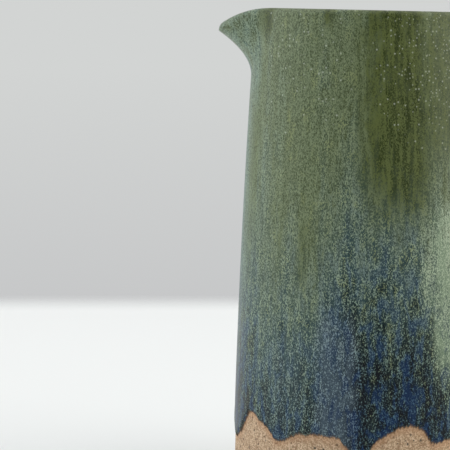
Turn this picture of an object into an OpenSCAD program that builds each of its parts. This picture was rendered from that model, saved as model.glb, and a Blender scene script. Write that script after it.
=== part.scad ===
// Stoneware pitcher: a thrown side with a lip pulled into a spout, a pulled strap handle luted on
// opposite it, and a fired coat of glaze that runs down and stops in tongues above the bare foot.
// The origin is the centre of the foot, on the table. The spout points to -X and the handle to +X.

/* [Body] */
// Height of the rim on the handle side
height = 200; // [150:1:250]
// Outside radius of the side where it meets the table, over the glaze
foot_r = 56; // [46:0.1:70]
// Outside radius of the side just under the rim, over the glaze
rim_r = 46.6; // [40:0.1:58]
// How far the side bows out past a straight taper at mid height
bow = 1.2; // [0:0.1:3]
// Thickness of the side at the rim
rim_wall = 3.9; // [3:0.1:6]
// Thickness of the side at the floor
foot_wall = 5.4; // [4:0.1:8]
// Thickness of the floor
floor_t = 7; // [5:0.1:10]
// Radius between the side and the floor, inside
floor_corner = 9; // [4:0.5:15]
// Height of the bevel turned on the foot
bevel_h = 2.4; // [1:0.1:4]
// Width of the bevel turned on the foot
bevel_w = 3; // [1:0.1:5]
// How much higher the rim stands on the spout side
rim_rise = 2; // [0:0.1:5]
// Height of the rounding along the top of the lip
lip_round = 1.9; // [1:0.1:3]

/* [Spout] */
// How far the spout reaches out past the side
spout_reach = 14.7; // [8:0.1:22]
// Depth of the spout, from the rim down to its throat
spout_depth = 26; // [18:0.5:40]
// Angle that the spout takes up on each side of its centre line
spout_half_angle = 30; // [20:1:40]
// How far the tip dips below the rim
tip_dip = 5.2; // [2:0.1:9]
// How much taller the rounding of the lip is at the tip
tip_round = 1.6; // [0:0.1:2]

/* [Handle] */
// Depth of the upper joint below the rim
handle_drop = 20; // [15:0.5:30]
// Distance from the upper joint down to the lower joint
handle_span = 100; // [80:1:115]
// How far the middle of the strap stands out from the side
handle_out = 40; // [32:0.5:50]
// Width of the strap at the upper joint
strap_w_top = 27; // [20:0.5:32]
// Width of the strap at the lower joint
strap_w_low = 21; // [16:0.5:28]
// Thickness of the strap at the upper joint
strap_t_top = 9.4; // [7:0.1:12]
// Thickness of the strap at the lower joint
strap_t_low = 7.4; // [6:0.1:10]
// Depth of the thumb groove drawn down the outside of the strap
groove = 0.9; // [0:0.1:1.5]
// How far the strap's ends are smeared outward at the joints
root_flare = 2.6; // [0:0.1:4]
// Thickness of the slip that lutes the strap to the side
lute_t = 1.2; // [0.8:0.1:2]

/* [Glaze] */
// Thickness of the fired glaze
glaze_t = 0.7; // [0.4:0.05:1.2]
// Height at which the glaze stops, halfway up its tongues
hem_z = 30; // [20:0.5:45]
// How far the glaze's edge wanders above and below that
hem_swing = 8; // [2:0.5:12]

/* [Hidden] */
$fn = 96;

CLAY = "#b5957a";
SLIP = "#a98467";
SAGE = "#6f7d66";
LINER = "#7d8a72";

spout_cols = 24;      // columns of points across the spout
side_cols = 36;       // columns of points round the rest of the body
spout_arc = 2.6 * spout_half_angle;
side_steps = 6;       // rows of points up the straight side
spout_steps = 6;      // rows of points up the spout
corner_steps = 4;     // rows of points round the corner of the floor
flare = 1.9;          // how late the spout turns outward as it rises
hem_room = 1;         // height between the highest point of the glaze's edge and the next row
strap_rings = 22;     // sections along the handle
strap_sides = 16;     // points round each section
root_share = 0.14;    // share of the strap that each smeared root takes up
stub = 8;             // length of strap that runs on past a joint, to be trimmed to the side

// Where the edge of the glaze turns: [angle, height as a share of hem_swing], once round
HEM = [[0, 0.6], [12, 0.1], [20, -0.5], [27, 0], [40, 0.5], [52, 0.75], [60, 0.1], [66, -0.6],
    [74, 0.1], [90, 0.4], [101, -0.1], [108, -0.75], [116, 0.3], [128, 0.75], [140, 0.4],
    [148, -0.4], [155, 0.15], [168, 0.5], [178, 0], [189, -0.9], [198, -0.2], [207, 1],
    [217, 0.5], [226, -0.3], [234, 0.15], [244, 0.4], [256, 0.2], [264, -1], [271, 0.2],
    [277, 0.65], [285, 0.9], [291, 0.7], [296, -0.2], [304, 0.05], [312, 0.4], [322, -0.1],
    [331, -0.75], [338, -0.1], [350, 0.5], [360, 0.6]];

throat_z = height - spout_depth;
hem_top = hem_z + hem_swing + hem_room;
clay_foot_r = foot_r - glaze_t;
top_joint_z = height - handle_drop;
low_joint_z = top_joint_z - handle_span;

// ---- The side, the lip and the spout as functions of the angle a and the height z ----

function mix(low, high, t) = low + (high - low) * t;

// Radius of the glazed side, with no spout
function side_r(z) = mix(foot_r, rim_r, z / height) + 4 * bow * z / height * (1 - z / height);

// Share of the spout's reach at an angle, 1 on its centre line and 0 past its edges
function pull(a) = abs(a - 180) < spout_half_angle
    ? pow(cos(90 * (a - 180) / spout_half_angle), 2) : 0;

// Height of the top of the lip, in clay
function crest_z(a) = height + rim_rise * (1 - cos(a)) / 2 - tip_dip * pow(pull(a), 2) - glaze_t;

// Height of the rounding of the lip, and the height at which it starts
function round_h(a) = lip_round + tip_round * pull(a);
function lip_z(a) = crest_z(a) - round_h(a);

// Height in the spout's band at the share s of the way from the throat to the lip
function band_z(a, s) = mix(throat_z, lip_z(a), s);

// Radius of the clay outside, at the share s of the band
function band_r(a, s) = side_r(band_z(a, s)) - glaze_t + spout_reach * pull(a) * pow(s, flare);

// Level thickness of the side: more where the spout leans out, so that its wall stays even
function wall_at(z) = mix(foot_wall, rim_wall, z / height);
function lean(a, s) = spout_reach * pull(a) * flare * pow(s, flare - 1) / (lip_z(a) - throat_z);
function band_wall(a, s) = wall_at(band_z(a, s)) * mix(1, sqrt(1 + pow(lean(a, s), 2)), 0.8);

// ---- Outlines of one column, as lists of [radius, height] ----

function side_rows() = [for (i = [0 : side_steps]) let (z = mix(hem_top, throat_z, i / side_steps))
    [side_r(z) - glaze_t, z]];

function spout_rows(a, out) = [for (i = [1 : spout_steps]) let (s = i / spout_steps)
    [band_r(a, s) + out, band_z(a, s)]];

// The rounding of the lip between two of its angles, with a coat of the thickness out on it
function lip_rows(a, from, to, step, out) = [for (q = [from : step : to]) let (w = band_wall(a, 1) / 2)
    [band_r(a, 1) - w + (w + out) * cos(q), lip_z(a) + (round_h(a) + out) * sin(q)]];

function inner_spout_rows(a, in) = [for (i = [spout_steps : -1 : 0]) let (s = i / spout_steps)
    [band_r(a, s) - band_wall(a, s) - in, band_z(a, s)]];

function inner_side_rows(in) = let (z_low = floor_t + floor_corner)
    [for (i = [side_steps - 1 : -1 : 0]) let (z = mix(z_low, throat_z, i / side_steps))
        [side_r(z) - glaze_t - wall_at(z) - in, z]];

function corner_rows(in) = let (z = floor_t + floor_corner, r = side_r(z) - glaze_t - wall_at(z) - floor_corner)
    [for (i = [1 : corner_steps]) let (q = 90 * i / corner_steps)
        [r + (floor_corner - in) * cos(q), z - (floor_corner - in) * sin(q)]];

function inside_rows(a, in) = concat(inner_spout_rows(a, in), inner_side_rows(in), corner_rows(in));

// The edge of the glaze, on the straight run of clay between the foot and the row above the edge
function hem(a) = hem_z + hem_swing * lookup(a, HEM);
function hem_row(a) = let (z = hem(a)) [mix(side_r(0), side_r(hem_top), z / hem_top) - glaze_t, z];

function backwards(rows) = [for (i = [len(rows) - 1 : -1 : 0]) rows[i]];

// ---- Solids drawn round the axis, one column of points for each angle ----

function column_angle(i) = i < spout_cols
    ? 180 + spout_arc * (i / spout_cols - 0.5)
    : 180 + spout_arc / 2 + (360 - spout_arc) * (i - spout_cols) / side_cols;

angles = [for (i = [0 : spout_cols + side_cols - 1]) let (a = column_angle(i)) a < 360 ? a : a - 360];

function around(columns) = [for (i = [0 : len(columns) - 1]) for (p = columns[i])
    [p[0] * cos(angles[i]), p[0] * sin(angles[i]), p[1]]];

// Faces between the rows first to last of neighbouring columns. Two solids that touch along the
// same rows, one with them listed backwards, cross each quad from the same corners.
function quads(cols, rows, first, last, listed_backwards) = [for (i = [0 : cols - 1]) for (j = [first : last])
    let (k = (i + 1) % cols, n = (j + 1) % rows, a = i * rows + j, b = k * rows + j,
         c = k * rows + n, d = i * rows + n)
    each listed_backwards ? [[a, d, b], [b, d, c]] : [[a, d, c], [a, c, b]]];

// A closed hoop: the columns of its outer face run up, and those of the clay behind it up as well
module hoop(face, clay) {
    cols = len(face);
    n = len(clay[0]);
    rows = len(face[0]) + n;
    polyhedron(
        around([for (i = [0 : cols - 1]) concat(face[i], backwards(clay[i]))]),
        concat(quads(cols, rows, 0, rows - n - 1, false), quads(cols, rows, rows - n, rows - 1, true)));
}

// A solid that closes on the axis at the heights z_first and z_last. Its first rows, as many as
// backward_rows, are another solid's rows listed backwards.
module turned(columns, z_first, z_last, backward_rows = 0) {
    cols = len(columns);
    rows = len(columns[0]);
    poles = cols * rows;
    polyhedron(
        concat(around(columns), [[0, 0, z_first], [0, 0, z_last]]),
        concat(quads(cols, rows, 0, backward_rows - 2, true),
            quads(cols, rows, max(0, backward_rows - 1), rows - 2, false),
            [for (i = [0 : cols - 1]) [poles, i * rows, (i + 1) % cols * rows]],
            [for (i = [0 : cols - 1]) [poles + 1, (i + 1) % cols * rows + rows - 1, i * rows + rows - 1]]));
}

// The true round side, grown by out, for trimming what is luted to it
module round_side(out) {
    rotate_extrude() polygon(concat([[0, 0]],
        [for (i = [0 : side_steps * 2]) let (z = height * i / side_steps / 2) [side_r(z) + out, z]],
        [[0, height]]));
}

// ---- Clay ----

module clay_body() color(CLAY) difference() {
    turned([for (a = angles) concat([[clay_foot_r, 0]], side_rows(), spout_rows(a, 0),
        lip_rows(a, 45, 135, 45, 0), inside_rows(a, 0))], 0, floor_t);
    rotate_extrude() polygon([[clay_foot_r - bevel_w, -1], [clay_foot_r - bevel_w, 0],
        [clay_foot_r, bevel_h], [clay_foot_r + 1, bevel_h], [clay_foot_r + 1, -1]]);
}

// Centre line of the strap: a Bezier curve from the upper joint to the lower one
function joint_x(z) = side_r(z) - glaze_t + lute_t;
bend = [[joint_x(top_joint_z), top_joint_z],
        [joint_x(top_joint_z) + 1.15 * handle_out, top_joint_z + 0.2 * handle_span],
        [joint_x(low_joint_z) + 1.42 * handle_out, low_joint_z + 0.38 * handle_span],
        [joint_x(low_joint_z), low_joint_z]];
function on_bend(t) = pow(1 - t, 3) * bend[0] + 3 * t * pow(1 - t, 2) * bend[1]
    + 3 * t * t * (1 - t) * bend[2] + pow(t, 3) * bend[3];
function along_bend(t) = pow(1 - t, 2) * (bend[1] - bend[0]) + 2 * t * (1 - t) * (bend[2] - bend[1])
    + t * t * (bend[3] - bend[2]);
function unit(v) = v / norm(v);

// The smear at a joint, 1 where the strap meets the side and 0 past its root
function root(t) = pow(max(0, 1 - min(t, 1 - t) / root_share), 2);

// One section: where it stands, the way the strap runs there, and its share t of the way along
stations = concat(
    [[bend[0] - stub * unit(along_bend(0)), unit(along_bend(0)), 0]],
    [for (i = [0 : strap_rings]) let (t = i / strap_rings) [on_bend(t), unit(along_bend(t)), t]],
    [[bend[3] + stub * unit(along_bend(1)), unit(along_bend(1)), 1]]);

function section(station, out) = let (p = station[0], run = station[1], t = station[2],
        smear = out + root_flare * root(t))
    [for (k = [0 : strap_sides - 1]) let (
        q = 360 * k / strap_sides,
        u = (mix(strap_w_top, strap_w_low, t) / 2 + smear) * cos(q),
        v = (mix(strap_t_top, strap_t_low, t) / 2 + smear) * sin(q) - groove * pow(max(0, sin(q)), 6))
        [p[0] - v * run[1], u, p[1] + v * run[0]]];

// Faces between n rings of m points, from the point named first, turned inside out where asked
function skin(n, m, first, inside) = [for (i = [0 : n - 2]) for (k = [0 : m - 1])
    let (a = first + i * m + k, b = first + i * m + (k + 1) % m, c = b + m, d = a + m)
    each inside ? [[a, c, b], [a, d, c]] : [[a, b, c], [a, c, d]]];

module strap() {
    n = len(stations);
    m = strap_sides;
    polyhedron(
        [for (s = stations) each section(s, 0)],
        concat(skin(n, m, 0, false),
            [[for (k = [m - 1 : -1 : 0]) k], [for (k = [0 : m - 1]) (n - 1) * m + k]]));
}

// The coat of glaze round the whole strap, open at its two ends
module sleeve() {
    n = len(stations);
    m = strap_sides;
    polyhedron(
        [for (out = [0, glaze_t]) for (s = stations) each section(s, out)],
        concat(skin(n, m, 0, true), skin(n, m, n * m, false),
            [for (k = [0 : m - 1]) let (c = (k + 1) % m) each [
                [k, n * m + c, n * m + k], [k, c, n * m + c],
                [(n - 1) * m + k, (2 * n - 1) * m + k, (2 * n - 1) * m + c],
                [(n - 1) * m + k, (2 * n - 1) * m + c, (n - 1) * m + c]]]));
}

module handle() color(CLAY) difference() {
    strap();
    round_side(lute_t - glaze_t);
}

// The outline of a joint on the side, run out along X: as wide as the strap's smeared root, and as
// tall as the root comes to on the slope at which the strap meets the side
module joint(z, w, t, run) {
    wide = w + 2 * root_flare;
    tall = (t + 2 * root_flare) / abs(run[0]);
    translate([0, 0, z]) rotate([90, 0, 90]) linear_extrude(2 * foot_r) union() {
        square([wide - tall, tall], center = true);
        for (side = [-1, 1]) translate([side * (wide - tall) / 2, 0]) circle(d = tall);
    }
}

module upper_joint() {
    joint(top_joint_z, strap_w_top, strap_t_top, unit(along_bend(0)));
}

module lower_joint() {
    joint(low_joint_z, strap_w_low, strap_t_low, unit(along_bend(1)));
}

// The part of a joint that the slip fills, from the clay of the side to the end of the strap
module slip() color(SLIP) difference() {
    intersection() {
        children();
        round_side(lute_t - glaze_t);
    }
    round_side(-glaze_t);
}

module upper_luting() slip() upper_joint();

module lower_luting() slip() lower_joint();

// ---- Glaze ----

module outer_glaze() color(SAGE) difference() {
    coat = [glaze_t, 0];
    hoop([for (a = angles) concat([for (p = concat([hem_row(a)], side_rows())) p + coat],
            spout_rows(a, glaze_t), lip_rows(a, 45, 90, 45, glaze_t))],
        [for (a = angles) concat([hem_row(a)], side_rows(), spout_rows(a, 0), lip_rows(a, 45, 90, 45, 0))]);
    upper_joint();
    lower_joint();
}

module liner_glaze() color(LINER) {
    clay = [for (a = angles) concat(lip_rows(a, 90, 135, 45, 0), inside_rows(a, 0))];
    coat = [for (a = angles) concat(lip_rows(a, 90, 135, 45, glaze_t), inside_rows(a, glaze_t))];
    turned([for (i = [0 : len(angles) - 1]) concat(backwards(clay[i]), coat[i])], floor_t,
        floor_t + glaze_t, len(clay[0]));
}

module handle_glaze() color(SAGE) difference() {
    sleeve();
    round_side(0);
    intersection() {
        round_side(lute_t - glaze_t);
        union() {
            upper_joint();
            lower_joint();
        }
    }
}

clay_body();
handle();
upper_luting();
lower_luting();
outer_glaze();
liner_glaze();
handle_glaze();
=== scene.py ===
"""Stoneware pitcher: the thrown clay, its running glaze and its pulled strap handle, in a plain studio.

Every length is in metres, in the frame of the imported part: the foot stands on z = 0, the spout
points to -X and the handle to +X. Angles round the pitcher run from +X towards +Y.
"""
import logging
import math
from collections.abc import Callable, Sequence
from dataclasses import dataclass
from enum import Enum

import bpy
import numpy as np
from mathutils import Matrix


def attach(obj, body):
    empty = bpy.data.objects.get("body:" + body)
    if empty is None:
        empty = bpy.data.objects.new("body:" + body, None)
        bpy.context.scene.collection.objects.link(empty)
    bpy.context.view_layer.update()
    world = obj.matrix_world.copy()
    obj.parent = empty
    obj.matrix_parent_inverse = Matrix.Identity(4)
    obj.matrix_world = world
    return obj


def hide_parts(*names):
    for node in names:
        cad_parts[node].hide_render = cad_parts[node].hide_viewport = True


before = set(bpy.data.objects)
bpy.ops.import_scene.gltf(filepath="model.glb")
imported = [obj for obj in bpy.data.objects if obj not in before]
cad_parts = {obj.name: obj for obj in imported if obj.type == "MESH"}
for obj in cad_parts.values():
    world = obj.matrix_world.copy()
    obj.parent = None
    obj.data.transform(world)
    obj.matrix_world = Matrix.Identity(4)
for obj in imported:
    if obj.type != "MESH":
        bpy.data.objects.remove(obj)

MM = 0.001
TURN = 2 * math.pi
BODY = "root"
FAR_MM = 60.0  # further from the glaze's edge than anything that it changes
SEAM = 0.002 * MM  # points closer together than this are one point
CREASE = math.radians(50)  # only edges sharper than this look like edges

LOG = logging.getLogger("pitcher")

Angles = np.ndarray
Ring = tuple[np.ndarray, np.ndarray]  # radii and heights, one for each angle
Row = Callable[[Angles], Ring]
Tree = bpy.types.NodeTree
Socket = bpy.types.NodeSocket


# ---- Small tools ----------------------------------------------------------------------------


def linear(colour: str) -> tuple[float, float, float, float]:
    """Turns an sRGB hex colour, such as "#6f7d66", into the linear colour that a node takes."""
    parts = [int(colour[i : i + 2], 16) / 255 for i in (1, 3, 5)]
    light = [c / 12.92 if c <= 0.04045 else ((c + 0.055) / 1.055) ** 2.4 for c in parts]
    return (*light, 1.0)


def per_metre(size_mm: float) -> float:
    """The scale that gives a texture features of a size in millimetres."""
    return 1 / (size_mm * MM)


def add_node(
    tree: Tree,
    kind: str,
    inputs: dict | None = None,
    stops: Sequence[tuple[float, str]] = (),
    **settings,
) -> bpy.types.Node:
    """Adds one node to a material.

    Args:
        tree: The material's node tree.
        kind: The node's type name.
        inputs: Input sockets by name or number, each with a value or with the output it is linked to.
        stops: Places and hex colours along a ramp.
        settings: Properties of the node itself.

    Returns:
        The new node.
    """
    made = tree.nodes.new(kind)
    for name, value in settings.items():
        setattr(made, name, value)
    if stops:
        ramp = made.color_ramp.elements
        ramp.remove(ramp[-1])
        ramp[0].position, ramp[0].color = stops[0][0], linear(stops[0][1])
        for along, colour in stops[1:]:
            ramp.new(along).color = linear(colour)
    for key, value in (inputs or {}).items():
        if isinstance(value, Socket):
            tree.links.new(value, made.inputs[key])
        else:
            made.inputs[key].default_value = value
    return made


def smooth(low: float, high: float, value: np.ndarray) -> np.ndarray:
    """Rises softly from 0 at low to 1 at high."""
    t = np.clip((value - low) / (high - low), 0, 1)
    return t * t * (3 - 2 * t)


def edit(obj: bpy.types.Object) -> None:
    """Selects one object by itself and opens it for editing, with all of its mesh selected."""
    bpy.ops.object.select_all(action="DESELECT")
    obj.select_set(True)
    bpy.context.view_layer.objects.active = obj
    bpy.ops.object.mode_set(mode="EDIT")
    bpy.ops.mesh.select_all(action="SELECT")


def close_mesh(obj: bpy.types.Object) -> None:
    """Joins the seams and poles of a turned mesh, turns its faces outward and shades it smooth."""
    edit(obj)
    bpy.ops.mesh.remove_doubles(threshold=SEAM)
    bpy.ops.mesh.normals_make_consistent(inside=False)
    bpy.ops.object.mode_set(mode="OBJECT")
    bpy.ops.object.shade_smooth_by_angle(angle=CREASE)


def paint(obj: bpy.types.Object, name: str, values: np.ndarray) -> None:
    """Stores one number for each point of a mesh, for a finish to read."""
    layer = obj.data.attributes.new(name, "FLOAT", "POINT")
    layer.data.foreach_set("value", values.astype(np.float32))


def points_of(obj: bpy.types.Object) -> np.ndarray:
    """The points of a mesh, one row of x, y and z for each."""
    co = np.empty(len(obj.data.vertices) * 3)
    obj.data.vertices.foreach_get("co", co)
    return co.reshape(-1, 3)


def around_and_up(obj: bpy.types.Object) -> tuple[np.ndarray, np.ndarray]:
    """The angle of each point of a mesh in degrees, from 0 to 360, and its height in millimetres."""
    co = points_of(obj)
    return np.degrees(np.arctan2(co[:, 1], co[:, 0]) % TURN), co[:, 2] / MM


def throw(name: str, rows: Sequence[Row], columns: int) -> bpy.types.Object:
    """Throws a shape on the wheel, then alters it.

    A column of points is raised one by one and turned once round the axis, and every ring of points
    is then drawn out to its own outline, which need not be round.

    Args:
        name: Name of the object.
        rows: The outline of each ring, in order from the first to the last.
        columns: How many points there are in each ring.

    Returns:
        The new object, with its seams and poles closed.
    """
    start = np.zeros(1)
    column = [(float(r[0]), float(z[0])) for r, z in (row(start) for row in rows)]
    bpy.ops.object.select_all(action="DESELECT")
    bpy.ops.mesh.primitive_plane_add(size=MM)
    pot = bpy.context.object
    pot.name = pot.data.name = name
    bpy.ops.object.mode_set(mode="EDIT")
    bpy.ops.mesh.select_all(action="SELECT")
    bpy.ops.mesh.merge(type="CENTER")
    bpy.ops.transform.translate(value=(column[0][0], 0, column[0][1]))
    for (r0, z0), (r1, z1) in zip(column, column[1:]):
        bpy.ops.mesh.extrude_vertices_move(TRANSFORM_OT_translate={"value": (r1 - r0, 0, z1 - z0)})
    bpy.ops.object.mode_set(mode="OBJECT")
    paint(pot, "row", np.arange(len(rows)))
    wheel = pot.modifiers.new("wheel", "SCREW")
    wheel.angle = TURN
    wheel.steps = wheel.render_steps = columns
    wheel.use_merge_vertices = False
    bpy.ops.object.modifier_apply(modifier=wheel.name)

    co = points_of(pot)
    number = np.empty(len(co))
    pot.data.attributes["row"].data.foreach_get("value", number)
    for i, row in enumerate(rows):
        ring = np.flatnonzero(np.round(number) == i)
        step = np.round(np.arctan2(co[ring, 1], co[ring, 0]) / TURN * columns)
        around = step % columns / columns * TURN
        radius, height = row(around)
        co[ring, 0] = radius * np.cos(around)
        co[ring, 1] = radius * np.sin(around)
        co[ring, 2] = height
    pot.data.vertices.foreach_set("co", co.ravel())
    pot.data.attributes.remove(pot.data.attributes["row"])
    close_mesh(pot)
    return pot


# ---- The form -------------------------------------------------------------------------------


@dataclass(frozen=True)
class PitcherForm:
    """The pitcher's outline: a bowed taper with a pulled spout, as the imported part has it."""

    height: float = 200 * MM
    foot_radius: float = 56 * MM
    rim_radius: float = 46.6 * MM
    bow: float = 1.2 * MM
    rim_wall: float = 3.9 * MM
    foot_wall: float = 5.4 * MM
    floor: float = 7 * MM
    floor_corner: float = 9 * MM
    bevel_height: float = 2.4 * MM
    bevel_width: float = 3 * MM
    rim_rise: float = 2 * MM
    lip_round: float = 1.9 * MM
    spout_reach: float = 14.7 * MM
    spout_depth: float = 26 * MM
    spout_half_angle: float = math.radians(30)
    tip_dip: float = 5.2 * MM
    tip_round: float = 1.6 * MM
    flare: float = 1.9
    lean_share: float = 0.8  # how far the wall is held at its thickness where the spout leans out
    glaze: float = 0.7 * MM
    hem_height: float = 30 * MM
    hem_swing: float = 8 * MM
    finger_pitch: float = 8.5 * MM
    # The tongues: angles in degrees, once round, and shares of the swing
    hem_turns: tuple[tuple[float, float], ...] = (
        (0, 0.6), (12, 0.1), (20, -0.5), (27, 0), (40, 0.5), (52, 0.75), (60, 0.1), (66, -0.6),
        (74, 0.1), (90, 0.4), (101, -0.1), (108, -0.75), (116, 0.3), (128, 0.75), (140, 0.4),
        (148, -0.4), (155, 0.15), (168, 0.5), (178, 0), (189, -0.9), (198, -0.2), (207, 1),
        (217, 0.5), (226, -0.3), (234, 0.15), (244, 0.4), (256, 0.2), (264, -1), (271, 0.2),
        (277, 0.65), (285, 0.9), (291, 0.7), (296, -0.2), (304, 0.05), (312, 0.4), (322, -0.1),
        (331, -0.75), (338, -0.1), (350, 0.5), (360, 0.6),
    )
    hem_blur: tuple[float, ...] = (-1.6, -0.8, 0, 0.8, 1.6)  # degrees that each tongue is softened over
    # A slow wander along it: waves in a turn, share of its height and start
    wander_height: float = 0.45 * MM
    wander_waves: tuple[tuple[float, float, float], ...] = ((23, 0.55, 1.0), (41, 0.4, 2.0))
    # The fine ragged line: waves in a turn, height in millimetres, start and how far it wanders
    hem_waves: tuple[tuple[float, float, float, float], ...] = (
        (67, 0.18, 0.4, 1), (131, 0.14, 2.1, 2), (229, 0.20, 4.0, 5), (307, 0.20, 1.3, 7),
    )

    @property
    def throat(self) -> float:
        """Height at which the spout starts to lean out."""
        return self.height - self.spout_depth

    def side(self, z: np.ndarray | float) -> np.ndarray | float:
        """Radius of the glazed side at a height, with no spout."""
        t = z / self.height
        return self.foot_radius + (self.rim_radius - self.foot_radius) * t + 4 * self.bow * t * (1 - t)

    def wall(self, z: np.ndarray | float) -> np.ndarray | float:
        """Level thickness of the clay at a height."""
        return self.foot_wall + (self.rim_wall - self.foot_wall) * z / self.height

    def pull(self, angle: Angles) -> np.ndarray:
        """Share of the spout's reach at an angle."""
        share = np.clip(np.abs(angle - math.pi) / self.spout_half_angle, 0, 1)
        return np.cos(share * math.pi / 2) ** 2

    def rounding(self, angle: Angles) -> np.ndarray:
        """Height of the rounding along the top of the lip."""
        return self.lip_round + self.tip_round * self.pull(angle)

    def lip(self, angle: Angles) -> np.ndarray:
        """Height at which the rounding of the lip starts."""
        rise = self.rim_rise * (1 - np.cos(angle)) / 2
        crest = self.height + rise - self.tip_dip * self.pull(angle) ** 2
        return crest - self.glaze - self.rounding(angle)

    def band(self, angle: Angles, share: float) -> Ring:
        """The clay outside, at a share of the way up from the throat to the lip."""
        z = self.throat + (self.lip(angle) - self.throat) * share
        return self.side(z) - self.glaze + self.spout_reach * self.pull(angle) * share**self.flare, z

    def band_wall(self, angle: Angles, share: float) -> np.ndarray:
        """Level thickness of the clay in the spout, more where it leans out."""
        z = self.band(angle, share)[1]
        lean = self.spout_reach * self.pull(angle) * self.flare * share ** (self.flare - 1)
        lean = lean / (self.lip(angle) - self.throat)
        return self.wall(z) * (1 - self.lean_share + self.lean_share * np.sqrt(1 + lean**2))

    def hem(self, angle: Angles) -> np.ndarray:
        """Height at which the glaze stops: the tongues, softened, with a fine ragged edge."""
        turns = np.array(self.hem_turns)
        degrees = np.degrees(angle)
        near = [np.interp((degrees + d) % 360, turns[:, 0], turns[:, 1]) for d in self.hem_blur]
        wander = sum(share * np.sin(waves * angle + start) for waves, share, start in self.wander_waves)
        ragged = sum(
            height * np.sin(waves * angle + start + drift * wander)
            for waves, height, start, drift in self.hem_waves
        )
        tongues = self.hem_height + self.hem_swing * np.mean(near, axis=0)
        return tongues + self.wander_height * wander + ragged * MM

    # Rings of points, each a function of the angle

    def on_axis(self, z: float) -> Row:
        """A pole."""
        return lambda a: (np.zeros_like(a), np.full_like(a, z))

    def foot_ring(self, inset: float, z: float) -> Row:
        """A ring on the foot, inset from the clay's side."""
        return lambda a: (np.full_like(a, self.side(0.0) - self.glaze - inset), np.full_like(a, z))

    def below_hem(self, share: float, start: float) -> Row:
        """A ring of bare clay, a share of the way from the height start to the glaze's edge."""

        def row(a: Angles) -> Ring:
            z = start + (self.hem(a) - start) * share
            return self.side(z) - self.glaze, z

        return row

    def from_hem(self, above: float, out: float) -> Row:
        """A ring at a height above the glaze's edge, out from the clay."""

        def row(a: Angles) -> Ring:
            z = self.hem(a) + above
            return self.side(z) - self.glaze + out, z

        return row

    def up_side(self, share: float, above: float, out: float) -> Row:
        """A ring on the side, a share of the way from the height above over the hem to the throat."""

        def row(a: Angles) -> Ring:
            low = self.hem(a) + above
            z = low + (self.throat - low) * share
            return self.side(z) - self.glaze + out, z

        return row

    def up_band(self, share: float, out: float) -> Row:
        """A ring on the spout's band, out from the clay."""
        return lambda a: (self.band(a, share)[0] + out, self.band(a, share)[1])

    def over_lip(self, turn: float, out: float) -> Row:
        """A ring on the rounding of the lip: turn is 0 outside and pi inside."""

        def row(a: Angles) -> Ring:
            half = self.band_wall(a, 1.0) / 2
            r = self.band(a, 1.0)[0] - half + (half + out) * math.cos(turn)
            return r, self.lip(a) + (self.rounding(a) + out) * math.sin(turn)

        return row

    def inside_band(self, share: float, out: float) -> Row:
        """A ring inside the spout's band, out from the clay towards the axis."""

        def row(a: Angles) -> Ring:
            r, z = self.band(a, share)
            return r - self.band_wall(a, share) - out, z

        return row

    def inside_side(self, z: float, out: float, ripple: float = 0.0) -> Row:
        """A ring inside the straight side, out from the clay and by the spiral left by the fingers."""
        radius = self.side(z) - self.glaze - self.wall(z) - out
        return lambda a: (radius + ripple * np.cos(TURN * z / self.finger_pitch - a), np.full_like(a, z))

    def inside_corner(self, turn: float, out: float) -> Row:
        """A ring round the corner of the floor: turn is 0 at the side and half of pi at the floor."""
        z = self.floor + self.floor_corner
        centre = self.side(z) - self.glaze - self.wall(z) - self.floor_corner
        reach = self.floor_corner - out
        r, z = centre + reach * math.cos(turn), z - reach * math.sin(turn)
        return lambda a: (np.full_like(a, r), np.full_like(a, z))

    def on_floor(self, radius: float, out: float, ripple: float = 0.0) -> Row:
        """A ring on the floor inside, with the same spiral."""
        z = self.floor + out
        turns = radius / self.finger_pitch
        return lambda a: (np.full_like(a, radius), z + ripple * np.cos(TURN * turns - a))


# ---- Finishes -------------------------------------------------------------------------------


class Mark(Enum):
    """What is painted on the points of a piece for its finish to read."""

    HEM = "hem"  # millimetres above the glaze's edge
    DEPTH = "depth"  # how thick the glaze ran: 0 thin and green, 1 thick and navy
    OLIVE = "olive"  # thin, glassy and dark olive
    PALE = "pale"  # a milky run, full of pale grains
    CALM = "calm"  # even and slate blue, where the grains melted away; low on the front it is a painted reflection of the table
    TEAL = "teal"  # a breath of blue-green; up the left flank it is partly a painted bluish sheen
    CRYSTAL = "crystal"  # how thickly white crystals are sown


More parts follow.
